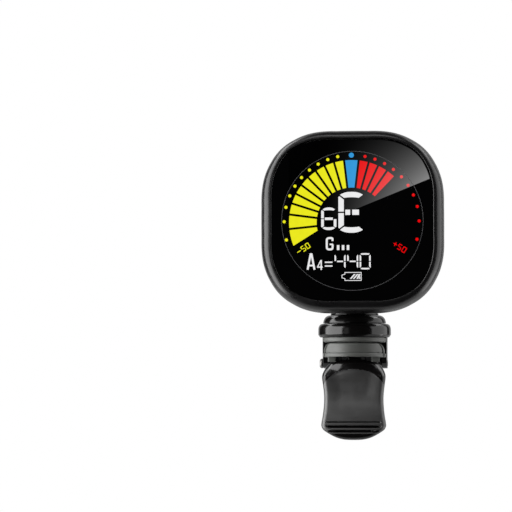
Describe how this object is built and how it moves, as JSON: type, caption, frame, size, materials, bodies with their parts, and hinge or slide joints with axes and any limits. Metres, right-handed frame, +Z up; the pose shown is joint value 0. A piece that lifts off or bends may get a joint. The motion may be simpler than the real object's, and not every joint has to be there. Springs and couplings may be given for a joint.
{
  "type": "clip on tuner",
  "caption": "Clip-on instrument tuner: a rounded-square display head that tilts and swivels on a neck above a spring clip with rubber jaws.",
  "frame": {"origin": "middle of the fixed upper pad's gripping face, on the swivel's axis", "axes": "+Z up through the head, along the swivel; the display faces -Y; +X to the right as the display is read"},
  "size_m": [0.0466, 0.03, 0.0789],
  "materials": {
    "clip_plastic": "glossy black moulded plastic",
    "jaw_rubber": "dark grey matt rubber",
    "bezel_plastic": "satin-gloss black moulded plastic",
    "case_plastic": "fine-textured black plastic",
    "window_plastic": "polished black acrylic with a lit segment display",
    "button_rubber": "matt black rubber",
    "pin_steel": "plain and blackened steel",
    "spring_steel": "bright spring steel",
    "washer_nylon": "black nylon",
    "lcd_glass": "dark glass",
    "white_plastic": "white plastic",
    "elastomer": "striped elastomer",
    "board_laminate": "green laminate",
    "component_black": "black moulding",
    "component_steel": "plated steel",
    "contact_brass": "bright brass",
    "piezo_ceramic": "silvered ceramic",
    "lead_insulation": "coloured wire insulation"
  },
  "bodies": {
    "clip": {"clip_frame": "clip_plastic", "upper_jaw_pad": "jaw_rubber", "pivot_pin": "pin_steel", "torsion_spring": "spring_steel", "swivel_retaining_ring": "clip_plastic", "wave_washer": "spring_steel"},
    "thumb_lever": {"thumb_lever": "clip_plastic", "lower_jaw_pad": "jaw_rubber"},
    "neck": {"neck_post": "clip_plastic", "tilt_washer_left": "washer_nylon", "tilt_washer_right": "washer_nylon"},
    "head": {"front_shell": "bezel_plastic", "rear_shell": "case_plastic", "display_window": "window_plastic", "lcd_panel": "lcd_glass", "lcd_frame": "white_plastic", "light_guide": "white_plastic", "backlight_led_left": "white_plastic", "backlight_led_right": "white_plastic", "elastomer_strip": "elastomer", "circuit_board": "board_laminate", "processor_chip": "component_black", "crystal": "component_steel", "tact_switch_power": "component_steel", "tact_switch_mode": "component_steel", "tact_switch_pitch": "component_steel", "battery_holder": "component_black", "negative_contact": "contact_brass", "positive_contact": "contact_brass", "coin_cell": "component_steel", "piezo_disc": "contact_brass", "piezo_ceramic": "piezo_ceramic", "piezo_lead_signal": "lead_insulation", "piezo_lead_ground": "lead_insulation", "case_screw_lower_left": "pin_steel", "case_screw_lower_right": "pin_steel", "case_screw_upper_left": "pin_steel", "case_screw_upper_right": "pin_steel", "tilt_pin": "pin_steel"},
    "battery_door": {"battery_door": "case_plastic"},
    "power_button": {"power_button": "button_rubber"},
    "mode_button": {"mode_button": "button_rubber"},
    "pitch_button": {"pitch_button": "button_rubber"}
  },
  "joints": [
    {"name": "lever_squeeze", "type": "hinge", "parent": "clip", "child": "thumb_lever", "pos_m": [0, 0.007, -0.00534], "axis": [1, 0, 0], "range_deg": [0, 35], "stiffness_Nm_per_rad": 0.12, "springref_deg": -40.11, "deforming": ["torsion_spring"]},
    {"name": "neck_swivel", "type": "hinge", "parent": "clip", "child": "neck", "pos_m": [0, 0, 0], "axis": [0, 0, 1], "continuous": true},
    {"name": "head_tilt", "type": "hinge", "parent": "neck", "child": "head", "pos_m": [0, -0.0009, 0.0132], "axis": [1, 0, 0], "range_deg": [-75, 8]},
    {"name": "battery_door_twist", "type": "hinge", "parent": "head", "child": "battery_door", "pos_m": [0, -0.0035, 0.0297], "axis": [0, 1, 0], "range_deg": [0, 25]},
    {"name": "power_press", "type": "slide", "parent": "head", "child": "power_button", "axis": [0, -1, 0], "range_m": [0, 0.0005], "stiffness_N_per_m": 1500, "springref_m": -0.0005},
    {"name": "mode_press", "type": "slide", "parent": "head", "child": "mode_button", "axis": [0, -1, 0], "range_m": [0, 0.0005], "stiffness_N_per_m": 1500, "springref_m": -0.0005},
    {"name": "pitch_press", "type": "slide", "parent": "head", "child": "pitch_button", "axis": [0, -1, 0], "range_m": [0, 0.0005], "stiffness_N_per_m": 1500, "springref_m": -0.0005}
  ]
}
